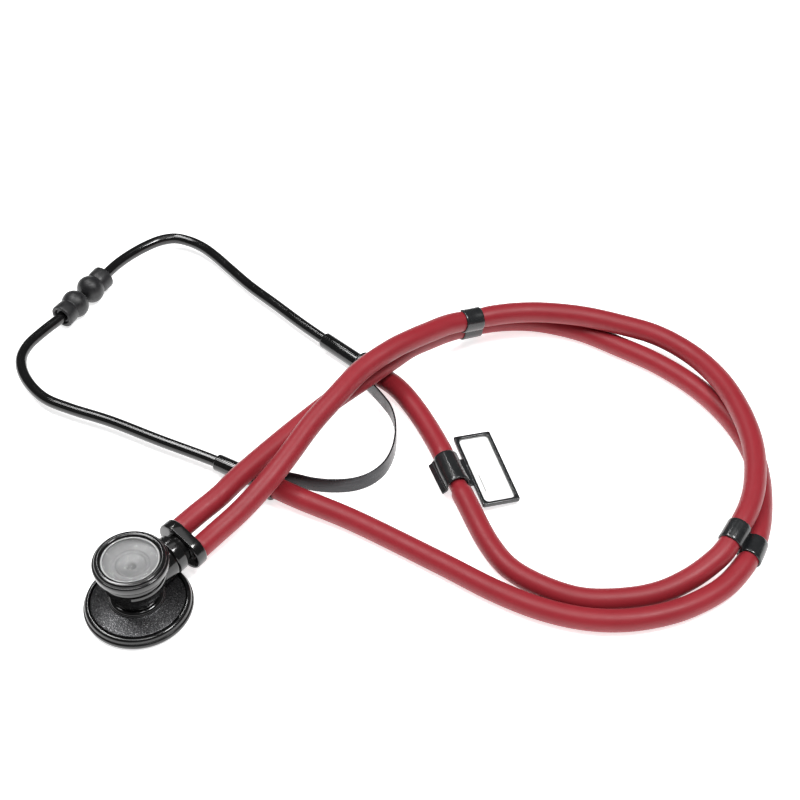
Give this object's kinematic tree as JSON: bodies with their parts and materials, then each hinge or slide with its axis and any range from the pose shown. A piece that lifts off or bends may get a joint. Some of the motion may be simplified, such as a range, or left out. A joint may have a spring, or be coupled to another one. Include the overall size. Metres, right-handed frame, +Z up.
{
  "type": "stethoscope",
  "caption": "Stethoscope with a two-sided turning chestpiece, paired rubber tubes held by clips, a leaf spring between bent ear tubes, and soft eartips.",
  "frame": {"origin": "on the surface the stethoscope lies on, under the centre of the large diaphragm", "axes": "+Z up, out of the small diaphragm; the tube loop lies towards +X and the eartips towards -X +Y"},
  "size_m": [0.3242, 0.2431, 0.0315],
  "materials": {
    "large_diaphragm_ring": "gloss black",
    "large_drum": "speckled satin black",
    "large_diaphragm": "fine matt",
    "large_gasket": "matt black",
    "small_diaphragm_ring": "gloss black",
    "small_drum": "gloss black",
    "small_diaphragm": "clear gloss",
    "small_gasket": "matt black",
    "valve_hub": "gloss black",
    "valve_stem": "gloss black",
    "detent_ball": "polished",
    "detent_spring": "bright",
    "stem_snap_ring": "bright",
    "tube_manifold": "gloss black",
    "left_nipple": "gloss black",
    "right_nipple": "gloss black",
    "left_tube": "satin burgundy",
    "right_tube": "satin burgundy",
    "upper_tube_clip": "satin black",
    "lower_tube_clip": "satin black",
    "name_tag_holder": "satin black",
    "name_card": "matt white",
    "name_window": "clear gloss",
    "leaf_spring": "satin black",
    "left_ear_tube": "gloss black",
    "left_ferrule": "gloss black",
    "left_spring_collar": "gloss black",
    "left_tip_insert": "bright",
    "left_eartip": "satin charcoal",
    "right_ear_tube": "gloss black",
    "right_ferrule": "gloss black",
    "right_spring_collar": "gloss black",
    "right_tip_insert": "bright",
    "right_eartip": "satin charcoal"
  },
  "bodies": {
    "stem_and_tubing": {"valve_stem": "valve_stem", "detent_ball": "detent_ball", "detent_spring": "detent_spring", "stem_snap_ring": "stem_snap_ring", "tube_manifold": "tube_manifold", "left_nipple": "left_nipple", "right_nipple": "right_nipple", "left_tube": "left_tube", "right_tube": "right_tube", "upper_tube_clip": "upper_tube_clip", "lower_tube_clip": "lower_tube_clip", "leaf_spring": "leaf_spring"},
    "head": {"large_diaphragm_ring": "large_diaphragm_ring", "large_drum": "large_drum", "large_diaphragm": "large_diaphragm", "large_gasket": "large_gasket", "small_diaphragm_ring": "small_diaphragm_ring", "small_drum": "small_drum", "small_diaphragm": "small_diaphragm", "small_gasket": "small_gasket", "valve_hub": "valve_hub"},
    "name_tag": {"name_tag_holder": "name_tag_holder", "name_card": "name_card", "name_window": "name_window"},
    "left_binaural": {"left_ear_tube": "left_ear_tube", "left_ferrule": "left_ferrule", "left_spring_collar": "left_spring_collar", "left_tip_insert": "left_tip_insert", "left_eartip": "left_eartip"},
    "right_binaural": {"right_ear_tube": "right_ear_tube", "right_ferrule": "right_ferrule", "right_spring_collar": "right_spring_collar", "right_tip_insert": "right_tip_insert", "right_eartip": "right_eartip"}
  },
  "joints": [
    {"name": "head_turn", "type": "hinge", "parent": "stem_and_tubing", "child": "head", "pos_m": [0, 0, 0.0136], "axis": [0.6561, 0.7547, 0], "range_deg": [0, 180]},
    {"name": "left_ear_spread", "type": "hinge", "parent": "stem_and_tubing", "child": "left_binaural", "pos_m": [0.104, 0.086, 0.006], "axis": [0, 0, 1], "range_deg": [0, 20], "stiffness_Nm_per_rad": 1, "deforming": ["left_tube", "leaf_spring"]},
    {"name": "right_ear_spread", "type": "hinge", "parent": "stem_and_tubing", "child": "right_binaural", "pos_m": [0.104, 0.086, 0.006], "axis": [0, 0, 1], "range_deg": [-20, 0], "stiffness_Nm_per_rad": 1, "deforming": ["right_tube"]},
    {"name": "tag_swing", "type": "hinge", "parent": "stem_and_tubing", "child": "name_tag", "pos_m": [0.1268, 0.0606, 0.006], "axis": [0.3159, -0.9488, 0], "range_deg": [0, 120]}
  ],
  "couplings": [
    {"joint": "right_ear_spread", "follows": "left_ear_spread", "ratio": -1}
  ]
}
